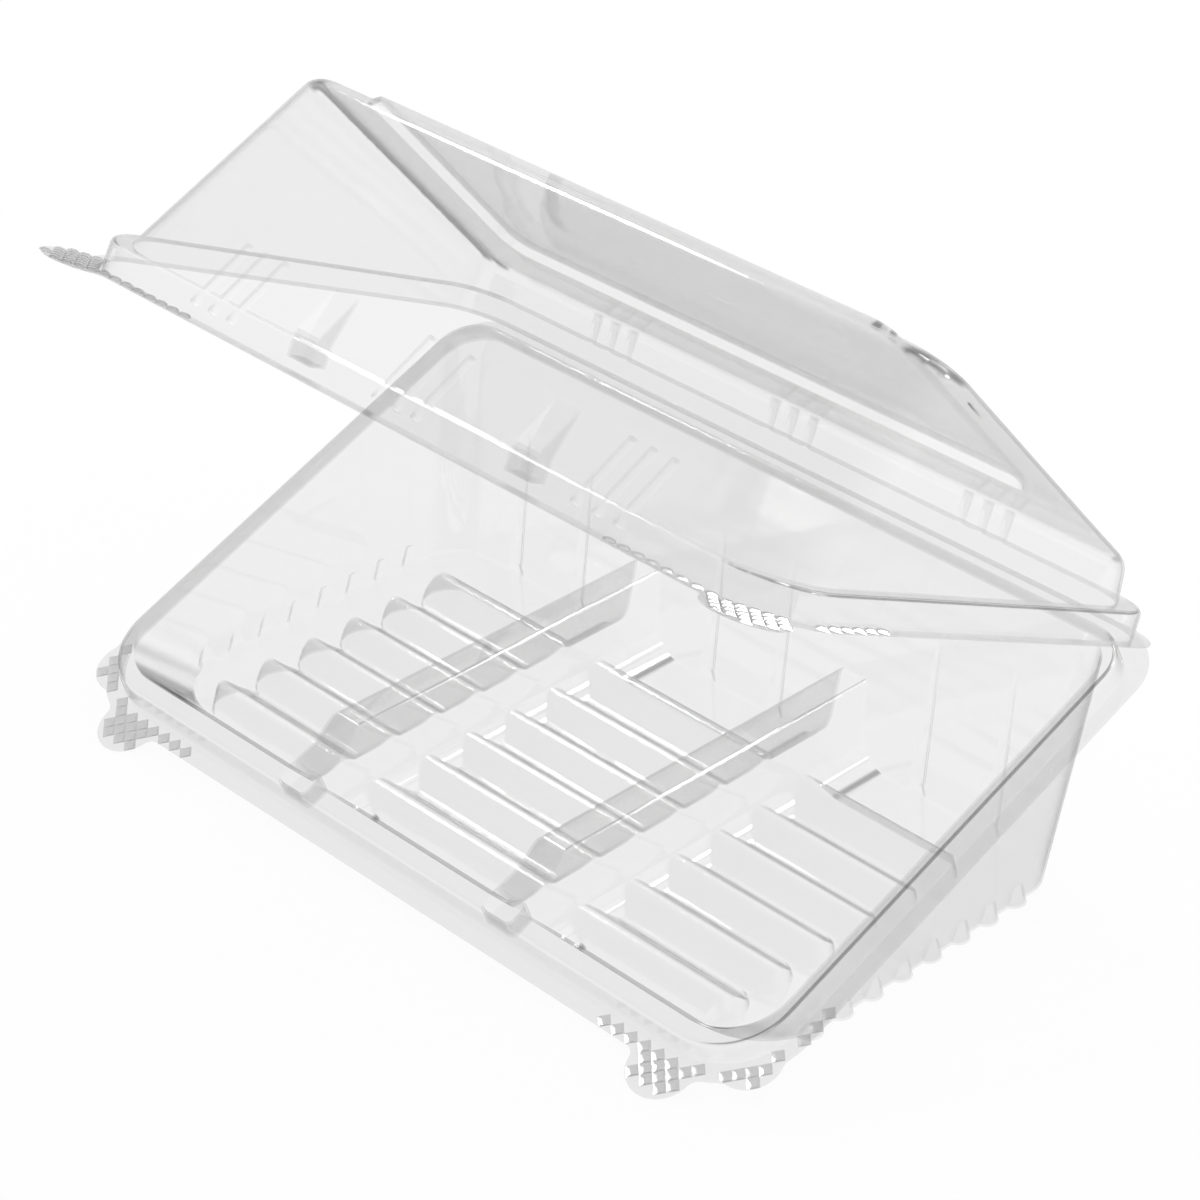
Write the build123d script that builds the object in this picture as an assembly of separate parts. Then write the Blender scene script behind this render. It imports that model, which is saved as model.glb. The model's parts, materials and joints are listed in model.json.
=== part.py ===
"""Wedge-shaped clamshell food pack: a three-bay base tray and a hinged domed lid, both thermoformed from thin clear sheet.

Millimetres, +Z up, the pack's foot on z = 0 and its width along X. The rim where the halves meet is a plane that
rises toward the hinge at the back, so the base is deep at the back and the lid is deep at the front.
"""
from build123d import *
from math import atan2, cos, degrees, dist, radians, sin, tan
import os

# Driving sizes
FLANGE_WIDTH = 240.0         # of both halves, along the fold
FLANGE_DEPTH = 156.4         # from the fold line to the front edge, in the rim plane
SHEET = 0.4                  # thickness of the formed sheet
RIM_TILT = 21.6              # slope of the rim plane, rising toward the hinge
LID_OPEN = 47.2              # angle of the lid from closed in the pose built here

# Flange that runs round both halves, measured in the rim plane
FLANGE_FRONT_CORNER = 24.0
FLANGE_BACK_CORNER = 14.0
FOLD_BEAD = 0.35             # radius of the fold bead
FOLD_CLEARANCE = 0.08
FOLD_END = 18.0              # length at each end where the fold is cut away

# Grip tabs at the front corners: two round lobes a side on the base, one on the lid
TAB_RADIUS = 8.5
TAB_CENTRE = (FLANGE_WIDTH / 2 - 24.5, FLANGE_DEPTH + 0.1)
SIDE_TAB_RADIUS = 8.1
SIDE_TAB_CENTRE = (FLANGE_WIDTH / 2 - 8.5, FLANGE_DEPTH - 12.8)
LID_TAB_RADIUS = 10.3
LID_TAB_CENTRE = (FLANGE_WIDTH / 2 - 9.7, FLANGE_DEPTH - 2.5)
TAB_BLEND = 3.0              # radius that runs a tab into the flange
TAB_LIFT = 0.46              # of the base tabs' front edge over the table

# The fold line, from the front tabs: the origin is under the middle of the open pack
TAB_REACH = TAB_CENTRE[1] + TAB_RADIUS
HINGE_HEIGHT = TAB_REACH * sin(radians(RIM_TILT)) + TAB_LIFT
HINGE_BACK = (TAB_REACH * cos(radians(RIM_TILT)) - FOLD_BEAD) / 2

# Raised ring round the base opening, measured in the rim frame
RING_HEIGHT = 6.4
RING_MARGIN = 4.0            # of the flange outside the ring at the sides
RING_FRONT_MARGIN = 5.2
RING_WIDTH = FLANGE_WIDTH - 2 * RING_MARGIN
RING_FRONT = FLANGE_DEPTH - RING_FRONT_MARGIN
RING_BACK = 5.6
RING_FRONT_CORNER = 19.0
RING_BACK_CORNER = 12.0
RING_DRAFT = 5.0
RING_SIDE_TOP = 3.0          # width of the ring's flat top at the sides
RING_FRONT_TOP = 5.8         # and at the front
RING_BACK_TOP = 4.0
RING_EDGE_RADIUS = 1.4

# Floor of the base: its front and back edges are level distances from the fold line
WALL_RUN = 8.0               # how far the side walls lean in
FRONT_WALL_RUN = 26.7        # how far the front wall leans in
FLOOR_HALF_WIDTH = RING_WIDTH / 2 - WALL_RUN
FLOOR_FRONT = RING_FRONT - FRONT_WALL_RUN
FLOOR_BACK = 20.0
FLOOR_FRONT_CORNER = 20.0
FLOOR_BACK_CORNER = 11.0

# Finger-shaped ridges across the floor: one wave from front to back, with a rounded, steep nose at each end
RIDGE_COUNT = 6
RIDGE_FRONT_GAP = 7.7        # from the floor's front edge to the first crest
RIDGE_FIELD = 73.25          # from the first crest to the last
RIDGE_FIRST = FLOOR_FRONT - RIDGE_FRONT_GAP
RIDGE_PITCH = RIDGE_FIELD / (RIDGE_COUNT - 1)
RIDGE_HEIGHT = 5.4
RIDGE_VALLEY = 0.7           # height of the valleys between the ridges over the floor
RIDGE_END = FLOOR_HALF_WIDTH - 15.0
RIDGE_END_DRAFT = 14.0
RIDGE_OVERLAP = 0.2          # of each ridge's outline, seen from above, past the middle of a valley

# Dividers between the three bays
DIVIDER_SPACING = 73.0
DIVIDER_HEIGHT = 22.7
DIVIDER_HALF_TOP = 4.5
DIVIDER_HALF_WAIST = 5.6
DIVIDER_WAIST = 8.5
DIVIDER_HALF_FOOT = 14.5
DIVIDER_STEP_BACK = FLOOR_FRONT - 1.5    # front end of the level top, from the fold line
DIVIDER_NECK = RING_FRONT - 14.4         # back end of the neck, along the rim plane
DIVIDER_END = 8.0            # back end, from the fold line, inside the back wall

# Snap sockets in the base ring and the plugs of the lid that press into them
SOCKET_WIDTH = 9.4
SOCKET_LENGTH = 6.4
SOCKET_MARGIN = 1.6          # from the ring's front to the socket
SOCKET_FRONT = RING_FRONT - SOCKET_MARGIN
SOCKET_BACK = SOCKET_FRONT - SOCKET_LENGTH
SOCKET_FLOOR = 1.2
PLUG_CLEARANCE = 0.6
PLUG_FLOOR = 2.0             # height of the plug's underside over the flange

# Foot bumps that keep stacked trays from locking together
BUMP_RADIUS = 2.9
BUMP_TAPER = 1.2
BUMP_HEIGHT = 5.0
BUMP_INSET = 0.8             # of a bump's centre from the wall's foot
BUMP_PITCH = 10.3
BUMP_COUNT = 8
BUMP_FIRST = FLOOR_FRONT - 15.5
BACK_BUMP_OFFSETS = (-12.0, 12.0)

# Flutes that stiffen the back wall, rising from its bumps and fading out below the ring
FLUTE_START = 3.0
FLUTE_LENGTH = 44.0
FLUTE_RADIUS = 2.4
FLUTE_TOP_RADIUS = 0.9
FLUTE_INSET = 0.9

# Lid, measured from the fold line along the flange and square to it
SKIRT_HEIGHT = 7.5
SKIRT_CLEARANCE = 1.1        # of the lid's skirt outside the base's ring
SKIRT_WIDTH = RING_WIDTH + 2 * SKIRT_CLEARANCE
SKIRT_FRONT = RING_FRONT + SKIRT_CLEARANCE + 0.1
SKIRT_BACK = RING_BACK - SKIRT_CLEARANCE - 0.1
SKIRT_FRONT_CORNER = 20.0
SKIRT_BACK_CORNER = 13.0
SKIRT_DRAFT = 3.0
SKIRT_EDGE_RADIUS = 1.4
SHELF = 4.1                  # width of the flat on the skirt at the sides
DOME_WIDTH = SKIRT_WIDTH - 2 * SHELF
DOME_FRONT = SKIRT_FRONT - 1.8
DOME_BACK = SKIRT_BACK + 5.0
DOME_FRONT_CORNER = 22.0
DOME_BACK_CORNER = 13.0
CROWN_BACK = (DOME_BACK + 1.2, 16.0)     # top of the back wall: distance from the fold line, height over the flange
CROWN_FRONT = (DOME_FRONT - 42.1, 59.0)  # top of the front wall
CROWN_BACK_WIDTH = DOME_WIDTH - 6.0
CROWN_FRONT_WIDTH = DOME_WIDTH - 13.0
CROWN_FRONT_CORNER = 15.0
CROWN_BACK_CORNER = 9.0
CROWN_EDGE_RADIUS = 5.0
PANEL_HEIGHT = 2.2           # raised panel on the crown
PANEL_BACK = 20.5            # from the crown's back edge, along the slope
PANEL_FRONT = 3.0            # from the crown's front edge
PANEL_HALF_BACK = CROWN_BACK_WIDTH / 2 - 20.5
PANEL_HALF_FRONT = CROWN_FRONT_WIDTH / 2 - 19.5
PANEL_CORNER = 8.0
PANEL_DRAFT = 40.0

# Ribs and plug notches on the lid's walls
RIB_GROUPS = (-64.0, 0.0, 64.0)
RIB_PITCH = 6.5
RIB_RADIUS = 1.5
RIB_SINK = 0.4               # of the rib's axis below the wall's face
RIB_TOP = 19.0
BACK_RIB_TOP = 15.0
RIB_ROOT = 3.0               # how far a rib runs on under the shelf
RECESS_TOP = 21.0            # where the notch above a plug runs out on the front wall
RECESS_BACK = SOCKET_BACK - 3.6

rim = Plane(
    origin=(0, HINGE_BACK, HINGE_HEIGHT),
    x_dir=(1, 0, 0),
    z_dir=(0, -sin(radians(RIM_TILT)), cos(radians(RIM_TILT))),
)


def soft_rectangle(half_width, front, back, front_corner, back_corner):
    """Closed outline with rounded corners, front at -front and back at -back in Y."""
    corners = [(-half_width, -front), (half_width, -front), (half_width, -back), (-half_width, -back)]
    outline = Polyline(*corners, close=True)
    face = make_face(outline)
    front_points = face.vertices().sort_by(Axis.Y)[:2]
    face = fillet(front_points, front_corner)
    back_points = [v for v in face.vertices() if abs(v.Y + back) < 0.001]
    return fillet(back_points, back_corner)


def tapered_block(face, height, draft):
    """Block that narrows by the draft angle as it rises from the face."""
    return extrude(face, amount=height, taper=draft)


def tray_cavity(gap):
    """Space inside the base walls, from the ring's top down to the floor, grown outward by gap."""
    half_width = RING_WIDTH / 2 - RING_SIDE_TOP - RING_HEIGHT * tan(radians(RING_DRAFT)) + gap
    mouth = soft_rectangle(
        half_width,
        RING_FRONT - RING_FRONT_TOP + gap,
        RING_BACK + RING_BACK_TOP - gap,
        RING_FRONT_CORNER - 3 + gap,
        RING_BACK_CORNER - 2 + gap,
    )
    mouth = rim.location * (Pos(0, 0, RING_HEIGHT) * mouth)
    floor = soft_rectangle(
        FLOOR_HALF_WIDTH + gap,
        FLOOR_FRONT + gap,
        FLOOR_BACK - gap,
        FLOOR_FRONT_CORNER + gap,
        FLOOR_BACK_CORNER + gap,
    )
    floor = Pos(0, HINGE_BACK, SHEET - gap) * floor
    walls = loft([floor.face(), mouth.face()], ruled=True)
    mouth_above = extrude(mouth.face(), amount=12, dir=rim.z_dir)
    return walls + mouth_above


def foot_bumps(gap):
    """Tapered bumps along the foot of the side walls and the back wall, on the outside of the tray."""
    bumps = []
    upright = (Align.CENTER, Align.CENTER, Align.MIN)
    peg = Cone(BUMP_RADIUS + gap, BUMP_RADIUS - BUMP_TAPER + gap, BUMP_HEIGHT + gap, align=upright)
    foot = SHEET - gap
    for side in (-1, 1):
        for i in range(BUMP_COUNT):
            y = HINGE_BACK - BUMP_FIRST + i * BUMP_PITCH
            bumps.append(Pos(side * (FLOOR_HALF_WIDTH - BUMP_INSET), y, foot) * peg)
    for x in back_bump_places():
        bumps.append(Pos(x, HINGE_BACK - FLOOR_BACK - BUMP_INSET, foot) * peg)
    return bumps


def back_bump_places():
    """X of each bump at the foot of the back wall, a pair to a bay."""
    return [bay * DIVIDER_SPACING + offset_x for bay in (-1, 0, 1) for offset_x in BACK_BUMP_OFFSETS]


def back_flutes(gap):
    """Slim cones that lie in the back wall and swell it outward, one over each bump."""
    wall_foot = HINGE_BACK - FLOOR_BACK
    wall_top = rim_point(-RING_BACK - RING_BACK_TOP, RING_HEIGHT)
    lean = degrees(atan2(wall_top[0] - wall_foot, wall_top[1] - SHEET))
    flute = Cone(
        FLUTE_RADIUS + gap, FLUTE_TOP_RADIUS + gap, FLUTE_LENGTH, align=(Align.CENTER, Align.CENTER, Align.MIN)
    )
    start_y = wall_foot - FLUTE_INSET + FLUTE_START * tan(radians(lean))
    flute = Pos(0, start_y, FLUTE_START) * (Rot(X=-lean) * flute)
    return [Pos(x, 0, 0) * flute for x in back_bump_places()]


def ridge_wave():
    """Side view of the ridges: crests and valleys on one smooth line that dips under the floor at both ends."""
    first = HINGE_BACK - RIDGE_FIRST
    half = RIDGE_PITCH / 2
    points = [(first - half - 0.4, -1.4)]
    for i in range(RIDGE_COUNT):
        crest = first + i * RIDGE_PITCH
        points.append((crest, RIDGE_HEIGHT))
        points.append((crest + half, RIDGE_VALLEY))
    points[-1] = (crest + half + 0.4, -1.4)
    wave = Spline(*points)
    under = Polyline(points[-1], (points[-1][0], -4), (points[0][0], -4), points[0])
    return make_face(Curve() + [wave, under])


def ridge_field(gap):
    """Finger-shaped ridges that run across the floor, lowered by gap and drawn in by gap at their ends."""
    depth = 3.0
    spread = depth * tan(radians(RIDGE_END_DRAFT))
    half_width = RIDGE_PITCH / 2 + RIDGE_OVERLAP + spread
    foot = SlotOverall(2 * (RIDGE_END + spread - gap), 2 * half_width)
    finger = extrude(foot, amount=depth + RIDGE_HEIGHT + 1, taper=RIDGE_END_DRAFT)
    wave = Pos(0, 0, SHEET - gap) * extrude(Plane.YZ * ridge_wave(), amount=RIDGE_END + 5, both=True)
    front = HINGE_BACK - RIDGE_FIRST
    return [wave & (Pos(0, front + i * RIDGE_PITCH, SHEET - depth) * finger) for i in range(RIDGE_COUNT)]


def divider_section(gap):
    """Section of a divider across its length: narrow top, flared foot."""
    half = [
        (DIVIDER_HALF_TOP, DIVIDER_HEIGHT),
        (DIVIDER_HALF_WAIST, DIVIDER_WAIST),
    ]
    right_wall = Line(half[0], half[1])
    flare = TangentArc(half[1], (DIVIDER_HALF_FOOT, 0), tangent=(half[1][0] - half[0][0], half[1][1] - half[0][1]))
    skirt = Polyline((DIVIDER_HALF_FOOT, 0), (DIVIDER_HALF_FOOT, -3), (0, -3))
    middle = Line((0, -3), (0, DIVIDER_HEIGHT))
    top = Line((0, DIVIDER_HEIGHT), half[0])
    half_face = make_face(Curve() + [right_wall, flare, skirt, middle, top])
    face = half_face + mirror(half_face, about=Plane.YZ)
    crest = [v for v in face.vertices() if abs(v.Y - DIVIDER_HEIGHT) < 0.01 and abs(v.X) > 1]
    face = fillet(crest, 1.2)
    if gap:
        face = offset(face, -gap)
    return face


def rim_point(y, z):
    """World (Y, Z) of a point given in the rim frame, y negative toward the front."""
    point = rim.from_local_coords((0, y, z))
    return point.Y, point.Z


def divider_side(gap):
    """Side view of a divider: neck at the ring's level, step, long level top."""
    neck_front = rim_point(-SOCKET_BACK - 3, RING_HEIGHT - gap)
    neck_back = rim_point(-DIVIDER_NECK, RING_HEIGHT - gap)
    step_back = HINGE_BACK - DIVIDER_STEP_BACK
    end = HINGE_BACK - DIVIDER_END
    top = DIVIDER_HEIGHT + SHEET - gap
    face = make_face(
        Polyline(
            (neck_front[0], -5),
            neck_front,
            (neck_back[0] + gap, neck_back[1]),
            (step_back + gap, top),
            (end, top),
            (end, -5),
            close=True,
        )
    )
    step = [v for v in face.vertices() if neck_back[0] - 0.1 < v.X < step_back + 1 and v.Y > 0]
    return fillet(step, 3.0)


def dividers(gap):
    """The two walls between the bays, shrunk inward by gap."""
    section = Pos(0, SHEET) * divider_section(gap)
    side = extrude(Plane.YZ * divider_side(gap), amount=60, both=True)
    bar = extrude(Plane.XZ * section, amount=FLANGE_DEPTH, both=True) & side
    return [Pos(s * DIVIDER_SPACING / 2, 0, 0) * bar for s in (-1, 1)]


def flange_outline(back, lobes, gap):
    """Outline of a flange with round grip lobes, or a plain larger outline under the sheet where gap isn't 0."""
    if gap:
        margin = 2 * FLANGE_FRONT_CORNER
        return soft_rectangle(FLANGE_WIDTH / 2 + margin, FLANGE_DEPTH + margin, back - gap, 5, 5)
    outline = soft_rectangle(FLANGE_WIDTH / 2, FLANGE_DEPTH, back, FLANGE_FRONT_CORNER, FLANGE_BACK_CORNER)
    for side in (-1, 1):
        for centre, radius in lobes:
            outline += Pos(side * centre[0], -centre[1], 0) * Circle(radius)
    corners = [v for v in outline.vertices() if meets_lobe(v, lobes)]
    return fillet(corners, TAB_BLEND)


def meets_lobe(vertex, lobes):
    """True if the vertex is where a lobe runs into the flange or into the next lobe."""
    gaps = [abs(dist((abs(vertex.X), -vertex.Y), centre) - radius) for centre, radius in lobes]
    return min(gaps) < 0.01


def base_below(gap):
    """Everything under the base's sheet surface: gap 0 is the upper face, gap SHEET the lower face."""
    lobes = ((TAB_CENTRE, TAB_RADIUS), (SIDE_TAB_CENTRE, SIDE_TAB_RADIUS))
    top = -FOLD_CLEARANCE / 2 - gap
    block = extrude(Pos(0, 0, top) * flange_outline(0, lobes, gap), amount=-90)
    ring = soft_rectangle(
        RING_WIDTH / 2 - gap, RING_FRONT - gap, RING_BACK + gap, RING_FRONT_CORNER, RING_BACK_CORNER
    )
    ring = Pos(0, 0, -1) * tapered_block(ring, RING_HEIGHT - gap + 1, RING_DRAFT)
    ring = fillet(ring.edges().group_by(Axis.Z)[-1], RING_EDGE_RADIUS - gap)
    solid = rim.location * (block + ring)
    cavity = tray_cavity(gap)
    for swelling in foot_bumps(gap) + back_flutes(gap):
        cavity += swelling
    solid -= cavity
    for part in ridge_field(gap) + dividers(gap):
        solid += part
    socket_face = Rectangle(SOCKET_WIDTH + 2 * gap, SOCKET_FRONT - SOCKET_BACK + 2 * gap)
    socket_face = fillet(socket_face.vertices(), 1.5)
    socket_middle = -(SOCKET_FRONT + SOCKET_BACK) / 2
    for side in (-1, 1):
        socket = extrude(Pos(side * DIVIDER_SPACING / 2, socket_middle, SOCKET_FLOOR - gap) * socket_face, amount=20)
        solid -= rim.location * socket
    return solid


def base_tray():
    """The base: sheet between its upper and lower faces, with the fold bead along the back of the flange."""
    sheet = base_below(0) - base_below(SHEET)
    bead = Rot(Y=90) * Cylinder(FOLD_BEAD, FLANGE_WIDTH - 2 * FOLD_END)
    return sheet + rim.location * bead


def crown_plane(gap):
    """Plane of the lid's sloping top, lowered by gap."""
    slope = atan2(CROWN_FRONT[1] - CROWN_BACK[1], CROWN_FRONT[0] - CROWN_BACK[0])
    return Plane(
        origin=(0, -CROWN_BACK[0] - gap * sin(slope), CROWN_BACK[1] - gap * cos(slope)),
        x_dir=(1, 0, 0),
        z_dir=(0, sin(slope), cos(slope)),
    )


def soft_trapezoid(half_front, half_back, front, back, front_corner, back_corner):
    """Closed outline like soft_rectangle, with a front and a back of different widths."""
    corners = [(-half_front, -front), (half_front, -front), (half_back, -back), (-half_back, -back)]
    face = make_face(Polyline(*corners, close=True))
    face = fillet(face.vertices().sort_by(Axis.Y)[:2], front_corner)
    back_points = [v for v in face.vertices() if abs(v.Y + back) < 0.001]
    return fillet(back_points, back_corner)


def dome(gap):
    """Lid above the skirt: sloping front wall, drafted sides, low back wall and sloping crown."""
    mouth = soft_rectangle(
        DOME_WIDTH / 2 - gap, DOME_FRONT - gap, DOME_BACK + gap, DOME_FRONT_CORNER - gap, DOME_BACK_CORNER - gap
    )
    crown_depth = dist(CROWN_BACK, CROWN_FRONT)
    crown = soft_trapezoid(
        CROWN_FRONT_WIDTH / 2 - gap,
        CROWN_BACK_WIDTH / 2 - gap,
        crown_depth - gap,
        gap,
        CROWN_FRONT_CORNER - gap,
        CROWN_BACK_CORNER - gap,
    )
    plane = crown_plane(gap)
    shell = loft([(Pos(0, 0, SKIRT_HEIGHT - 1) * mouth).face(), (plane.location * crown).face()], ruled=True)
    crown_edges = [e for e in shell.edges() if abs(plane.to_local_coords(e.center()).Z) < 0.01]
    shell = fillet(crown_edges, CROWN_EDGE_RADIUS - gap)
    panel = soft_trapezoid(
        PANEL_HALF_FRONT - gap / 2,
        PANEL_HALF_BACK - gap / 2,
        crown_depth - PANEL_FRONT - gap / 2,
        PANEL_BACK + gap / 2,
        PANEL_CORNER,
        PANEL_CORNER,
    )
    panel = Pos(0, 0, -1) * extrude(panel, amount=PANEL_HEIGHT + 1, taper=PANEL_DRAFT)
    return shell + plane.location * panel


def wall_ribs(gap):
    """Half-round ribs: three in each of three groups, on the lid's front wall and on its back wall."""
    foot = (DOME_FRONT, SKIRT_HEIGHT - 1)
    lean = atan2(DOME_FRONT - CROWN_FRONT[0], CROWN_FRONT[1] - foot[1])
    ribs = []
    upright = (Align.CENTER, Align.CENTER, Align.MIN)
    front_length = (RIB_TOP - foot[1]) / cos(lean)
    front = Cylinder(RIB_RADIUS - gap, front_length + RIB_ROOT / cos(lean) - gap, align=upright)
    start = -foot[0] - RIB_ROOT * tan(lean) + RIB_SINK
    front = Pos(0, start, foot[1] - RIB_ROOT) * (Rot(X=-degrees(lean)) * front)
    back = Cylinder(RIB_RADIUS - gap, BACK_RIB_TOP - foot[1] + RIB_ROOT - gap, align=upright)
    back = Pos(0, -DOME_BACK - RIB_SINK / 2, foot[1] - RIB_ROOT) * back
    for group in RIB_GROUPS:
        for i in (-1, 0, 1):
            for rib in (front, back):
                ribs.append(Pos(group + i * RIB_PITCH, 0, 0) * rib)
    return ribs


def plug_notches(gap):
    """Pits in the lid's front shelf whose undersides are the plugs that enter the base's sockets."""
    side_view = make_face(
        Polyline(
            (-SOCKET_FRONT + PLUG_CLEARANCE + SHEET - gap, PLUG_FLOOR + SHEET - gap),
            (-SOCKET_BACK - PLUG_CLEARANCE - SHEET + gap, PLUG_FLOOR + SHEET - gap),
            (-SOCKET_BACK - PLUG_CLEARANCE - SHEET + gap, SKIRT_HEIGHT),
            (-RECESS_BACK + gap, RECESS_TOP),
            (-SOCKET_FRONT + PLUG_CLEARANCE + SHEET - gap, RECESS_TOP + 6),
            close=True,
        )
    )
    half_width = SOCKET_WIDTH / 2 - PLUG_CLEARANCE - SHEET + gap
    notch = extrude(Plane.YZ * side_view, amount=half_width, both=True)
    return [Pos(side * DIVIDER_SPACING / 2, 0, 0) * notch for side in (-1, 1)]


def lid_below(gap):
    """Everything under the lid's sheet surface: gap 0 is the outer face, gap SHEET the inner face."""
    top = FOLD_CLEARANCE / 2 + SHEET - gap
    back = FOLD_BEAD + FOLD_CLEARANCE
    lobes = ((LID_TAB_CENTRE, LID_TAB_RADIUS),)
    solid = extrude(Pos(0, 0, top) * flange_outline(back, lobes, gap), amount=-20)
    skirt = soft_rectangle(
        SKIRT_WIDTH / 2 - gap, SKIRT_FRONT - gap, SKIRT_BACK + gap, SKIRT_FRONT_CORNER - gap, SKIRT_BACK_CORNER - gap
    )
    skirt = Pos(0, 0, -1) * tapered_block(skirt, SKIRT_HEIGHT - gap + 1, SKIRT_DRAFT)
    skirt = fillet(skirt.edges().group_by(Axis.Z)[-1], SKIRT_EDGE_RADIUS - gap)
    solid += skirt
    solid += dome(gap)
    for rib in wall_ribs(gap):
        solid += rib
    for notch in plug_notches(gap):
        solid -= notch
    return solid


def lid():
    """The lid: sheet between its outer and inner faces, turned about the fold to the open pose."""
    sheet = lid_below(0) - lid_below(SHEET)
    return rim.location * (Rot(X=-LID_OPEN) * sheet)


def main():
    """Build both halves and write them to parts/."""
    os.makedirs("parts", exist_ok=True)
    export_step(base_tray(), "parts/base_tray.step")
    export_step(lid(), "parts/lid.step")


if __name__ == "__main__":
    main()
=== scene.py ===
"""Looks for a wedge-shaped clear food pack: formed sheet, embossed grips, studio and camera.

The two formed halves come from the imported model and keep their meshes. This script gives them their clear sheet,
adds the embossed finger grips, and sets the pack on a pale floor in soft studio light.
"""

import json
import logging
import math
from collections.abc import Sequence
from dataclasses import dataclass
from enum import Enum

import bpy
from mathutils import Euler, Matrix, Vector

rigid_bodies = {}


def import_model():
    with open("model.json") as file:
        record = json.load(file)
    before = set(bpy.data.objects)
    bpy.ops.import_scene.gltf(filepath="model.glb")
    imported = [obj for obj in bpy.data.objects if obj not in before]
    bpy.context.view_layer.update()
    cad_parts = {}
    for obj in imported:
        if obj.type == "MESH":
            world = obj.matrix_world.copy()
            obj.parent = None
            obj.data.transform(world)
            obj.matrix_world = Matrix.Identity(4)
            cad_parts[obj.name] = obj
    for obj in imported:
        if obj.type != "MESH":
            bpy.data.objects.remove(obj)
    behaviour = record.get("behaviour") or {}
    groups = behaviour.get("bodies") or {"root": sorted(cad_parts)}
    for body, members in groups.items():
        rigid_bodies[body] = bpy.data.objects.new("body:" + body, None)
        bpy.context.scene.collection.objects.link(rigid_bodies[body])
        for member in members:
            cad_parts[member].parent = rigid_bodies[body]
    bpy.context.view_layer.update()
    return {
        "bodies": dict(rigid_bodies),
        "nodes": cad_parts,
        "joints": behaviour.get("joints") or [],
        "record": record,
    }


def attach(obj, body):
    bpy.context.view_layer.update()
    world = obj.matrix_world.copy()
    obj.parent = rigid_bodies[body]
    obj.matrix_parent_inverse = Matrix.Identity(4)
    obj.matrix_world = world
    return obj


log = logging.getLogger("clear_pack")
MM = 0.001
UP = Vector((0, 0, 1))
WHITE = (1, 1, 1, 1)
GRAZING_POWER = 5.0           # how fast a smooth face turns from clear to mirror as it is seen edge-on
RIM_TILT_DEG = 21.6           # of the tray's rim, rising to the back
LID_OPEN_DEG = 47.2           # of the lid from closed, as in the photograph


class Half(Enum):
    """The two halves of the pack, each by the name of its body."""

    TRAY = "tray"
    COVER = "cover"


class Side(Enum):
    """Left and right of the pack, as the sign of X."""

    LEFT = -1
    RIGHT = 1


def linear(hex_colour: str) -> tuple[float, float, float, float]:
    """Turn an sRGB hex colour into the linear values that a shader takes.

    Args:
        hex_colour: Six hex digits, such as "E8ECEB".

    Returns:
        Red, green, blue and an alpha of 1.
    """
    channels = []
    for i in (0, 2, 4):
        value = int(hex_colour[i:i + 2], 16) / 255
        channels.append(value / 12.92 if value <= 0.04045 else ((value + 0.055) / 1.055) ** 2.4)
    return (channels[0], channels[1], channels[2], 1.0)


def add_node(tree: bpy.types.NodeTree, kind: str, settings: dict | None = None, **links: object) -> bpy.types.Node:
    """Add a node with its settings, socket values and incoming links.

    Args:
        tree: Node tree that takes the node.
        kind: Blender's name of the node type.
        settings: Attributes of the node, such as its operation.
        links: Socket name or s0, s1, ... for a socket by number, to a value or an output socket.

    Returns:
        The new node.
    """
    node = tree.nodes.new(kind)
    for name, value in (settings or {}).items():
        setattr(node, name, value)
    for name, value in links.items():
        key = int(name[1:]) if name[0] == "s" and name[1:].isdigit() else name.replace("_", " ")
        socket = node.inputs[key]
        if isinstance(value, bpy.types.NodeSocket):
            tree.links.new(value, socket)
        else:
            socket.default_value = value
    return node


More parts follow.
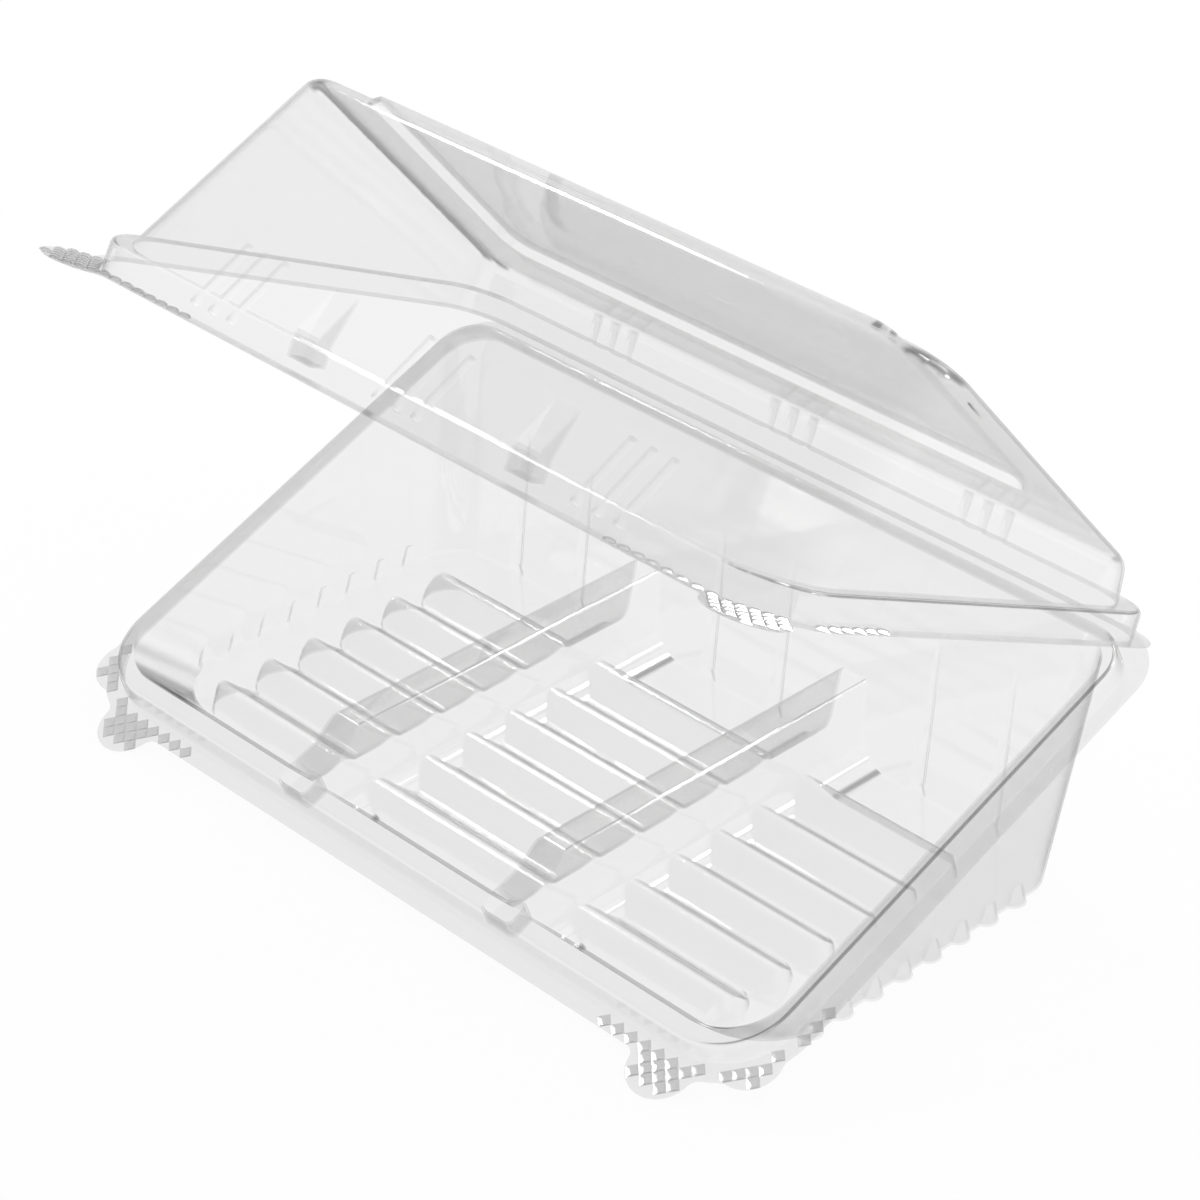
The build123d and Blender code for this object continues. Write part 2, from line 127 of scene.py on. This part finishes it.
@dataclass(frozen=True)
class ClearPet:
    """Clear PET sheet, heated and drawn over a mould.

    It is glass-clear with a hard gloss. Seen square on, each face takes away a few hundredths of the light. Seen
    edge-on, round every bend and at every cut edge, it shows a thin grey line of painted shade, put into the colour
    it lets through.
    """

    name: str
    tint: str = "FBFBFB"          # what one face of the sheet lets through, square on
    painted_edge_shade: str = "484848"     # painted shade: what it lets through edge-on
    edge_shade_power: float = 6.5       # how narrow the painted grey shade round a bend is
    edge_gloss: float = 0.55      # most that a face mirrors edge-on, because the bends are soft
    ior: float = 1.575            # PET
    roughness: float = 0.045
    draw_scale_mm: float = 26.0   # slow waves left where the hot sheet stretched
    draw_height_mm: float = 0.10
    draw_detail: float = 1.0      # how many times smaller waves ride on them
    draw_fade: float = 0.4        # and how high each is against the one before
    shadow_tint: str = "F3F3F3"   # what one face lets through to the lamps
    painted_bend_shade: str = "C4C4C4"     # painted shade: what the first of a bend lets through, beside a flat
    bend_starts: tuple[float, float] = (0.994, 0.970)     # alignment with the flat where the painted shade line comes in
    bend_ends: tuple[float, float] = (0.935, 0.870)       # and where it goes out
    upright: tuple[float, float] = (0.50, 0.72)           # alignment with the draw below which walls have no painted shade line

    def bend_shade_mask(self, tree: bpy.types.NodeTree, flats: Sequence[Vector], draw: Vector) -> bpy.types.NodeSocket:
        """Find where the sheet turns out of one of its flats, where a line of painted shade goes.

        Args:
            tree: Node tree that takes the nodes.
            flats: Directions that the half's flats face.
            draw: Direction in which the sheet was drawn from the mould.

        Returns:
            1 on the narrow line of painted shade along a flat where the sheet begins to turn, and 0 elsewhere.
        """
        turned = add_node(tree, "ShaderNodeTexCoord").outputs["Normal"]
        nearest = 0.0
        for flat in flats:
            along = add_node(
                tree, "ShaderNodeVectorMath", {"operation": "DOT_PRODUCT"}, s0=turned, s1=tuple(flat),
            )
            size = add_node(tree, "ShaderNodeMath", {"operation": "ABSOLUTE"}, s0=along.outputs["Value"])
            closest = add_node(tree, "ShaderNodeMath", {"operation": "MAXIMUM"}, s0=size.outputs[0], s1=nearest)
            nearest = closest.outputs[0]
        comes = add_node(
            tree, "ShaderNodeMapRange", {"interpolation_type": "SMOOTHSTEP"}, Value=nearest,
            From_Min=self.bend_starts[0], From_Max=self.bend_starts[1], To_Min=0.0, To_Max=1.0,
        )
        stays = add_node(
            tree, "ShaderNodeMapRange", {"interpolation_type": "SMOOTHSTEP"}, Value=nearest,
            From_Min=self.bend_ends[0], From_Max=self.bend_ends[1], To_Min=1.0, To_Max=0.0,
        )
        rise = add_node(tree, "ShaderNodeVectorMath", {"operation": "DOT_PRODUCT"}, s0=turned, s1=tuple(draw))
        rise = add_node(tree, "ShaderNodeMath", {"operation": "ABSOLUTE"}, s0=rise.outputs["Value"])
        off_walls = add_node(
            tree, "ShaderNodeMapRange", {"interpolation_type": "SMOOTHSTEP"}, Value=rise.outputs[0],
            From_Min=self.upright[0], From_Max=self.upright[1], To_Min=0.0, To_Max=1.0,
        )
        line = add_node(
            tree, "ShaderNodeMath", {"operation": "MULTIPLY"}, s0=comes.outputs[0], s1=stays.outputs[0],
        )
        line = add_node(
            tree, "ShaderNodeMath", {"operation": "MULTIPLY"}, s0=line.outputs[0], s1=off_walls.outputs[0],
        )
        return line.outputs[0]

    def build(self, flats: Sequence[Vector] = (), draw: Vector = UP) -> bpy.types.Material:
        """Make the material.

        Args:
            flats: Directions that the flats of the piece face, between which the sheet is bent, or none.
            draw: Direction in which the sheet was drawn from the mould.

        Returns:
            A node material that mixes clear and gloss by the viewing angle.
        """
        material = bpy.data.materials.new(self.name)
        material.use_nodes = True
        tree = material.node_tree
        tree.nodes.clear()
        place = add_node(tree, "ShaderNodeTexCoord")
        slow = add_node(
            tree, "ShaderNodeTexNoise", Vector=place.outputs["Object"], Scale=1 / (self.draw_scale_mm * MM),
            Detail=self.draw_detail, Roughness=self.draw_fade,
        )
        bump = add_node(
            tree, "ShaderNodeBump", Height=slow.outputs["Fac"], Distance=self.draw_height_mm * MM, Strength=1.0,
        )
        facing = add_node(tree, "ShaderNodeLayerWeight", Blend=0.5)
        grazing = add_node(
            tree, "ShaderNodeMath", {"operation": "POWER"}, s0=facing.outputs["Facing"], s1=GRAZING_POWER,
        )
        square_on = ((self.ior - 1) / (self.ior + 1)) ** 2
        mirrored = add_node(
            tree, "ShaderNodeMath", {"operation": "MULTIPLY_ADD", "use_clamp": True},
            s0=grazing.outputs[0], s1=1 - square_on, s2=square_on,
        )
        gloss_share = add_node(
            tree, "ShaderNodeMath", {"operation": "MINIMUM"}, s0=mirrored.outputs[0], s1=self.edge_gloss,
        )
        # painted shade: the clear colour turns grey as a face is seen edge-on
        rim = add_node(
            tree, "ShaderNodeMath", {"operation": "POWER"}, s0=facing.outputs["Facing"], s1=self.edge_shade_power,
        )
        body = linear(self.tint)
        # painted shade: the clear colour darkens along a narrow line where the sheet turns out of a flat
        if flats:
            bent = add_node(
                tree, "ShaderNodeMix", {"data_type": "RGBA"}, s0=self.bend_shade_mask(tree, flats, draw), s6=body,
                s7=linear(self.painted_bend_shade),
            )
            body = bent.outputs[2]
        tint = add_node(
            tree, "ShaderNodeMix", {"data_type": "RGBA"}, s0=rim.outputs[0], s6=body, s7=linear(self.painted_edge_shade),
        )
        clear = add_node(tree, "ShaderNodeBsdfTransparent", Color=tint.outputs[2])
        gloss = add_node(
            tree, "ShaderNodeBsdfGlossy", Color=WHITE, Roughness=self.roughness, Normal=bump.outputs["Normal"],
        )
        sheet = add_node(
            tree, "ShaderNodeMixShader", s0=gloss_share.outputs[0], s1=clear.outputs[0], s2=gloss.outputs[0],
        )
        path = add_node(tree, "ShaderNodeLightPath")
        to_lamp = add_node(tree, "ShaderNodeBsdfTransparent", Color=linear(self.shadow_tint))
        lit = add_node(
            tree, "ShaderNodeMixShader", s0=path.outputs["Is Shadow Ray"], s1=sheet.outputs[0],
            s2=to_lamp.outputs[0],
        )
        add_node(tree, "ShaderNodeOutputMaterial", Surface=lit.outputs[0])
        return material


@dataclass
class FormedHalf:
    """One formed half of the pack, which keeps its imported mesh."""

    node: str
    finish: ClearPet
    draw: Vector                  # direction in which the half was drawn from its mould
    flat_area: float = 0.8e-4     # least area of sheet, in square metres, that faces one way and counts as a flat
    alike: float = 0.994          # alignment above which two faces are one flat
    steepest: float = 0.5         # alignment with the drawing direction below which a flat borders no tight bend
    most_flats: int = 18

    def flats(self, mesh: bpy.types.Mesh) -> list[Vector]:
        """List the directions that the half's flats face.

        Args:
            mesh: The half's mesh.

        Returns:
            One direction for each flat, those of the largest flats first.
        """
        groups: list[list] = []
        shallow = [face for face in mesh.polygons if abs(face.normal.dot(self.draw)) > self.steepest]
        for face in sorted(shallow, key=lambda polygon: -polygon.area):
            for group in groups:
                if abs(group[0].dot(face.normal)) > self.alike:
                    group[1] += face.area
                    break
            else:
                groups.append([face.normal.copy(), face.area])
        groups.sort(key=lambda group: -group[1])
        return [normal for normal, area in groups if area > self.flat_area][:self.most_flats]

    def dress(self, frame: dict) -> None:
        """Give the half its clear sheet.
        """
        mesh = frame["nodes"][self.node].data
        flats = self.flats(mesh)
        material = self.finish.build(flats, self.draw)
        mesh.materials.clear()
        mesh.materials.append(material)
        log.info("%s: clear sheet on %d faces, bent between %d flats", self.node, len(mesh.polygons), len(flats))


@dataclass(frozen=True)
class RimFrame:
    """One flange's own frame: X along the fold, Y back toward the fold line, Z up from the flange."""

    tilt_deg: float               # of the flange, rising to the back
    fold_back: float = 76.532     # of the fold line, in mm behind the middle of the pack
    fold_height: float = 61.201   # and over the table

    def matrix(self) -> Matrix:
        """Turn and shift from the flange's frame, in mm, to the pack's, in metres.

        Returns:
            The matrix that places a piece drawn in the flange's frame.
        """
        place = Matrix.Translation((0, self.fold_back * MM, self.fold_height * MM))
        return place @ Matrix.Rotation(math.radians(self.tilt_deg), 4, "X") @ Matrix.Scale(MM, 4)

    def square_to(self) -> Vector:
        """Direction square to the flange, in the pack's frame."""
        return Matrix.Rotation(math.radians(self.tilt_deg), 3, "X") @ UP


TRAY_RIM = RimFrame(RIM_TILT_DEG)
LID_RIM = RimFrame(RIM_TILT_DEG - LID_OPEN_DEG)


@dataclass(frozen=True)
class Flange:
    """Outline of one half's flange in its own frame, in mm, with the round lobes that fingers pull on."""

    lobes: tuple[tuple[float, float, float], ...]     # distance from the middle, distance from the fold, radius
    half_width: float = 120.0
    depth: float = 156.4          # from the fold line to the front edge
    corner: float = 24.0
    wall_half_width: float = 116.0    # the upright wall inside the flange, which the grips stop at
    wall_depth: float = 151.2
    wall_corner: float = 19.0

    @staticmethod
    def past(x: float, reach: float, half_width: float, depth: float, corner: float) -> float:
        """How far a point lies outside a rectangle with round front corners.

        Args:
            x: Distance from the pack's middle.
            reach: Distance from the fold line.
            half_width: Half the rectangle's width.
            depth: Its front edge.
            corner: Its front corners' radius.

        Returns:
            The distance in mm, less than 0 inside.
        """
        side = abs(x) - (half_width - corner)
        front = reach - (depth - corner)
        if side > 0 and front > 0:
            return math.hypot(side, front) - corner
        return max(side, front) - corner

    def holds(self, x: float, reach: float, margin: float) -> bool:
        """True if a point is on the flange or a lobe, at least margin from the edge and outside the wall.

        Args:
            x: Distance from the pack's middle.
            reach: Distance from the fold line.
            margin: Distance kept from the edges.

        Returns:
            Whether a grip's cell can stand there.
        """
        on_flange = self.past(x, reach, self.half_width, self.depth, self.corner) <= -margin
        on_lobe = any(math.hypot(abs(x) - a, reach - b) <= r - margin for a, b, r in self.lobes)
        off_wall = self.past(x, reach, self.wall_half_width, self.wall_depth, self.wall_corner) >= margin
        return (on_flange or on_lobe) and off_wall


@dataclass(frozen=True)
class GripKind:
    """What the two grips of one half have in common, in mm in the flange's frame."""

    name: str
    half: Half
    slot: str                     # material slot of the record, which the half has too
    flange: Flange
    rim: RimFrame
    finish: ClearPet
    face: float                   # height of the flange's face that carries the bumps
    relief: float                 # height of the bumps, less than 0 on the underside
    margin: float                 # distance kept from the flange's edge and from the wall
    front_from: float             # distance from the middle where the bumps start along the front edge
    left_from: float              # distance from the fold line where they start along the left side
    right_from: float             # and along the right
    reach_to: float = math.inf    # no bump's foot reaches past this distance from the fold line

    def side_from(self, side: Side) -> float:
        """Distance from the fold line where the bumps start along that side."""
        return self.right_from if side is Side.RIGHT else self.left_from


@dataclass
class EmbossedGrip:
    """Waffle of small four-sided bumps pressed into a corner of the flange, so that fingers hold it."""

    kind: GripKind
    side: Side
    width_to: float = 120.56      # no bump's foot reaches past this distance from the pack's middle
    middle: tuple[float, float] = (96.8, 135.0)     # of the bumps' mesh, from the pack's middle and the fold line
    spread: float = 62.0          # half that mesh's width, before it is cut to the flange
    turn_deg: float = 45.0        # of its cells against the flange's edges
    pitch: float = 3.05
    shoulder: float = 0.85        # width of a bump's sloping sides
    thickness: float = 0.12
    merge: float = 0.01           # distance below which two corners are one

    def build(self) -> None:
        """Model the grip, put it on the flange and let it ride on its half."""
        grip = self.waffle()
        self.press(grip)
        grip.matrix_world = self.kind.rim.matrix()
        bpy.ops.object.transform_apply(location=True, rotation=True, scale=True)
        self.finish_mesh(grip)
        grip.data.materials.append(self.kind.finish.build())
        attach(grip, self.kind.half.value)
        log.info("%s: %d faces", grip.name, len(grip.data.polygons))

    def waffle(self) -> bpy.types.Object:
        """Lay a square mesh on the corner, turn it, and keep the cells that the flange holds.

        Returns:
            A flat mesh of the grip's cells, in the flange's frame and in mm.
        """
        across = 2 * math.ceil(self.spread / self.pitch)
        centre = (self.side.value * self.middle[0], -self.middle[1], 0)
        bpy.ops.object.select_all(action="DESELECT")
        bpy.ops.mesh.primitive_grid_add(
            x_subdivisions=across, y_subdivisions=across, size=across * self.pitch, location=(0, 0, 0),
        )
        grip = bpy.context.object
        grip.name = f"{self.kind.name}_{self.side.name.lower()}"
        bpy.ops.object.mode_set(mode="EDIT")
        bpy.ops.mesh.select_all(action="SELECT")
        bpy.ops.transform.rotate(value=math.radians(self.turn_deg), orient_axis="Z", center_override=(0, 0, 0))
        bpy.ops.transform.translate(value=centre)
        bpy.ops.mesh.select_mode(type="FACE")
        bpy.ops.mesh.select_all(action="DESELECT")
        bpy.ops.object.mode_set(mode="OBJECT")
        for cell in grip.data.polygons:
            cell.select = not self.keeps([grip.data.vertices[i].co for i in cell.vertices], cell.center)
        bpy.ops.object.mode_set(mode="EDIT")
        bpy.ops.mesh.delete(type="FACE")
        bpy.ops.object.mode_set(mode="OBJECT")
        return grip

    def keeps(self, corners: list[Vector], centre: Vector) -> bool:
        """True if a cell belongs to the grip.

        Args:
            corners: The cell's corners.
            centre: Its middle.

        Returns:
            Whether the cell stays.
        """
        x, reach = centre.x * self.side.value, -centre.y
        along = x >= self.kind.front_from and reach >= self.kind.side_from(self.side)
        inside = all(-corner.y <= self.kind.reach_to and abs(corner.x) <= self.width_to for corner in corners)
        return along and inside and self.kind.flange.holds(x, reach, self.kind.margin)

    def press(self, grip: bpy.types.Object) -> None:
        """Raise a four-sided bump on each cell and lift the sheet to the flange's face.

        Args:
            grip: The flat mesh of cells.
        """
        bpy.ops.object.mode_set(mode="EDIT")
        bpy.ops.mesh.select_all(action="SELECT")
        bpy.ops.mesh.inset(
            thickness=self.shoulder, depth=self.kind.relief, use_individual=True, use_even_offset=True,
        )
        bpy.ops.mesh.select_all(action="SELECT")
        bpy.ops.transform.translate(value=(0, 0, self.kind.face))
        bpy.ops.object.mode_set(mode="OBJECT")

    def finish_mesh(self, grip: bpy.types.Object) -> None:
        """Give the pressed sheet its thickness, with its faces outward.

        Args:
            grip: The grip in its place, in metres.
        """
        wall = grip.modifiers.new("sheet", "SOLIDIFY")
        wall.thickness = self.thickness * MM
        wall.offset = 1.0 if self.kind.relief < 0 else -1.0
        bpy.ops.object.modifier_apply(modifier=wall.name)
        bpy.ops.object.mode_set(mode="EDIT")
        bpy.ops.mesh.select_all(action="SELECT")
        bpy.ops.mesh.remove_doubles(threshold=self.merge * MM)
        bpy.ops.mesh.normals_make_consistent(inside=False)
        bpy.ops.object.mode_set(mode="OBJECT")


@dataclass
class Grips:
    """The four embossed grips: two under the tray's front corners and two on the lid's."""

    kinds: tuple[GripKind, ...] = (
        GripKind(
            "tray_grip", Half.TRAY, "clear_sheet", rim=TRAY_RIM,
            flange=Flange(lobes=((95.5, 156.5, 8.5), (111.5, 143.6, 8.1))),
            finish=ClearPet("clear_pet_tray_grip", tint="EFEFEF", roughness=0.07),
            face=-0.46, relief=-0.55, margin=1.35, front_from=72.0, left_from=134.0, right_from=121.0,
            reach_to=163.2,
        ),
        GripKind(
            "lid_grip", Half.COVER, "clear_sheet_lid", rim=LID_RIM,
            flange=Flange(
                lobes=((110.3, 153.9, 10.3),), wall_half_width=117.1, wall_depth=152.4, wall_corner=20.0,
            ),
            finish=ClearPet("clear_pet_lid_grip", tint="F2F2F2", roughness=0.07),
            face=0.46, relief=0.55, margin=1.1, front_from=70.0, left_from=140.0, right_from=114.0,
        ),
    )

    def build(self) -> None:
        """Model all four grips."""
        for side in Side:
            for kind in self.kinds:
                EmbossedGrip(kind, side).build()


@dataclass(frozen=True)
class SoftBox:
    """Rectangular softbox that faces the pack."""

    name: str
    place: tuple[float, float, float]     # of its centre, in metres
    size: tuple[float, float]             # width and height in metres
    power: float                          # in watts
    shadow: bool                          # whether what stands in its light throws a shadow
    aim: tuple[float, float, float] = (0.0, 0.0, 0.06)      # the point that it faces

    def build(self) -> None:
        """Add the lamp."""
        data = bpy.data.lights.new(self.name, "AREA")
        data.shape = "RECTANGLE"
        data.size, data.size_y = self.size
        data.energy = self.power
        data.use_shadow = self.shadow
        lamp = bpy.data.objects.new(self.name, data)
        lamp.location = self.place
        lamp.rotation_euler = (Vector(self.aim) - Vector(self.place)).to_track_quat("-Z", "Y").to_euler()
        bpy.context.scene.collection.objects.link(lamp)


@dataclass
class Studio:
    """Pale floor, white background and soft lamps round the pack."""

    floor_size: float = 6.0
    floor_gap: float = 0.0002     # between the floor and the pack's feet, so that no two faces lie in one plane
    floor_colour: str = "FAFAF9"
    floor_white: float = 0.90     # share of the floor's white that no shadow falls on
    ambient: float = 0.75
    mirror_dim: float = 0.25      # brightness of the studio's front, as the gloss shows it
    mirror_bright: float = 1.2    # and of its white back
    dim_to: float = -0.3          # Y of the direction in which the front's dimness ends
    bright_from: float = 0.75     # and in which the back's full white starts
    lamps: tuple[SoftBox, ...] = (
        SoftBox("left_softbox", (-0.90, 0.52, 1.08), (0.26, 0.12), 3.0, shadow=True),
        SoftBox("back_softbox", (0.08, 0.90, 1.20), (0.30, 0.10), 3.0, shadow=False),
        SoftBox("right_softbox", (0.83, 0.87, 0.84), (0.16, 0.16), 2.0, shadow=False),
    )

    def build(self) -> None:
        """Set up the world, the floor and the lamps."""
        self.build_world()
        self.build_floor()
        for lamp in self.lamps:
            lamp.build()

    @staticmethod
    def sees_background(tree: bpy.types.NodeTree, path: bpy.types.Node) -> bpy.types.NodeSocket:
        """Find the rays that show the studio's plain white: the camera's own and those through clear pieces.

        Args:
            tree: Node tree that takes the node.
            path: Its Light Path node.

        Returns:
            1 for such a ray and 0 for the others.
        """
        either = add_node(
            tree, "ShaderNodeMath", {"operation": "MAXIMUM"}, s0=path.outputs["Is Camera Ray"],
            s1=path.outputs["Is Transmission Ray"],
        )
        return either.outputs[0]

    def build_world(self) -> None:
        """Make a world that is white to the camera, plain as a light, and in the gloss bright at the back."""
        world = bpy.data.worlds.new("studio_world")
        world.cycles.sampling_method = "NONE"     # even light needs no aiming at, and this renders faster
        bpy.context.scene.world = world
        world.use_nodes = True
        tree = world.node_tree
        tree.nodes.clear()
        path = add_node(tree, "ShaderNodeLightPath")
        ambient = add_node(tree, "ShaderNodeBackground", Color=WHITE, Strength=self.ambient)
        direction = add_node(tree, "ShaderNodeTexCoord")
        split = add_node(tree, "ShaderNodeSeparateXYZ", Vector=direction.outputs["Generated"])
        back = add_node(
            tree, "ShaderNodeMapRange", {"interpolation_type": "SMOOTHSTEP"}, Value=split.outputs["Y"],
            From_Min=self.dim_to, From_Max=self.bright_from, To_Min=self.mirror_dim, To_Max=self.mirror_bright,
        )
        mirror = add_node(tree, "ShaderNodeBackground", Color=WHITE, Strength=back.outputs[0])
        white = add_node(tree, "ShaderNodeBackground", Color=WHITE, Strength=1.0)
        seen = self.sees_background(tree, path)
        glossy = add_node(
            tree, "ShaderNodeMixShader", s0=path.outputs["Is Glossy Ray"], s1=ambient.outputs[0],
            s2=mirror.outputs[0],
        )
        final = add_node(tree, "ShaderNodeMixShader", s0=seen, s1=glossy.outputs[0], s2=white.outputs[0])
        add_node(tree, "ShaderNodeOutputWorld", Surface=final.outputs[0])

    def build_floor(self) -> None:
        """Make the pale floor, white to the camera and in the gloss apart from the pack's faint shadow."""
        bpy.ops.mesh.primitive_plane_add(size=self.floor_size, location=(0, 0, -self.floor_gap))
        floor = bpy.context.object
        floor.name = "studio_floor"
        material = bpy.data.materials.new("matt_white_paper")
        material.use_nodes = True
        tree = material.node_tree
        tree.nodes.clear()
        path = add_node(tree, "ShaderNodeLightPath")
        seen = add_node(
            tree, "ShaderNodeMath", {"operation": "MAXIMUM"}, s0=self.sees_background(tree, path),
            s1=path.outputs["Is Glossy Ray"],
        )
        paper = add_node(tree, "ShaderNodeBsdfDiffuse", Color=linear(self.floor_colour))
        white = add_node(tree, "ShaderNodeEmission", Color=WHITE, Strength=1.0)
        share = add_node(tree, "ShaderNodeMath", {"operation": "MULTIPLY"}, s0=seen.outputs[0], s1=self.floor_white)
        mixed = add_node(
            tree, "ShaderNodeMixShader", s0=share.outputs[0], s1=paper.outputs[0], s2=white.outputs[0],
        )
        add_node(tree, "ShaderNodeOutputMaterial", Surface=mixed.outputs[0])
        floor.data.materials.append(material)


@dataclass(frozen=True)
class ViewPoint:
    """The camera, at the photograph's viewing angle."""

    place_mm: tuple[float, float, float] = (550.71, -542.72, 538.32)
    turn_deg: tuple[float, float, float] = (57.9025, -0.2168, 45.7192)
    focal_px: float = 3741.0      # in a picture 1200 px wide
    centre_px: tuple[float, float] = (575.0, 603.0)
    picture_px: float = 1200.0
    sensor_mm: float = 36.0
    clip: tuple[float, float] = (0.05, 20.0)      # nearest and farthest that it sees, in metres

    def build(self) -> None:
        """Add the camera and make it the scene's."""
        data = bpy.data.cameras.new("view_camera")
        data.sensor_width = self.sensor_mm
        data.lens = self.focal_px / self.picture_px * data.sensor_width
        data.shift_x = (self.picture_px / 2 - self.centre_px[0]) / self.picture_px
        data.shift_y = (self.centre_px[1] - self.picture_px / 2) / self.picture_px
        data.clip_start, data.clip_end = self.clip
        camera = bpy.data.objects.new("view_camera", data)
        camera.location = Vector(self.place_mm) * MM
        camera.rotation_euler = Euler([math.radians(a) for a in self.turn_deg])
        bpy.context.scene.collection.objects.link(camera)
        bpy.context.scene.camera = camera


@dataclass(frozen=True)
class LightPaths:
    """How far the renderer follows light, which has to pass many layers of clear sheet."""

    layers: int = 32              # faces of sheet that light may pass
    bounces: int = 5
    off_gloss: int = 2            # with one, the walls behind others would go dark
    off_paper: int = 1

    def build(self) -> None:
        """Give the scene these limits, and plain colours."""
        scene = bpy.context.scene
        scene.view_settings.view_transform = "Standard"
        scene.cycles.transparent_max_bounces = self.layers
        scene.cycles.max_bounces = self.bounces
        scene.cycles.glossy_bounces = self.off_gloss
        scene.cycles.diffuse_bounces = self.off_paper


def clear_defaults() -> None:
    """Take away the lamp, camera and cube that a new Blender file starts with."""
    objects = bpy.context.scene.objects
    for default in [o for o in objects if o.type in ("LIGHT", "CAMERA") or o.name == "Cube"]:
        bpy.data.objects.remove(default)


def main() -> None:
    """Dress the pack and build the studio."""
    logging.basicConfig(level=logging.INFO, format="%(name)s %(message)s")
    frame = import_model()
    bpy.ops.object.select_all(action="DESELECT")
    clear_defaults()
    ViewPoint().build()
    Studio().build()
    # painted shade along bends and edges: lighter on the tray's bends, narrower round the lid's edges
    tray_sheet = ClearPet("clear_pet_tray", tint="F8F8F8", painted_bend_shade="D0D0D0")
    lid_sheet = ClearPet("clear_pet_lid", tint="FCFCFC", edge_shade_power=8.0)
    FormedHalf("base_tray", tray_sheet, draw=UP).dress(frame)
    FormedHalf("lid", lid_sheet, draw=LID_RIM.square_to()).dress(frame)
    Grips().build()
    LightPaths().build()


if __name__ == "__main__":
    main()
